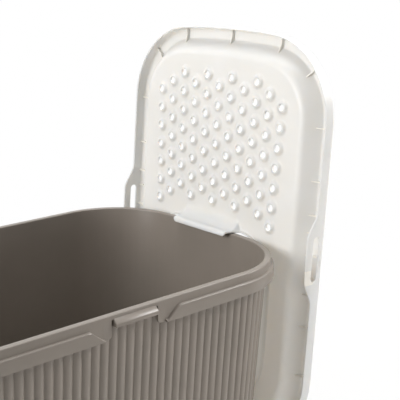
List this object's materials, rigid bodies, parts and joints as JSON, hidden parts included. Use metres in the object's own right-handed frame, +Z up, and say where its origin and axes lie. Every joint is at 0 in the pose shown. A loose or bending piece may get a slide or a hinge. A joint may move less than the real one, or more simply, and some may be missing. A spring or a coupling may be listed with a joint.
{
  "type": "litter box",
  "caption": "Top-entry cat litter box: a deep fluted tub with a rim and clip lugs, and a perforated lid with an entry hole that hangs on the rim by its hook.",
  "frame": {"origin": "centre of the tub's underside, on the surface it stands on", "axes": "+X along the tub's length towards the end that carries the lid, +Y across, +Z up"},
  "size_m": [0.6314, 0.3924, 0.6675],
  "materials": {
    "taupe_polypropylene": "moulded satin",
    "white_polypropylene": "moulded satin"
  },
  "bodies": {
    "tub": {"tub": "taupe_polypropylene"},
    "lid": {"lid": "white_polypropylene"}
  },
  "joints": [
    {"name": "lid_lift", "type": "slide", "parent": "tub", "child": "lid", "axis": [0.4226, 0, 0.9063], "range_m": [0, 0.35]}
  ]
}
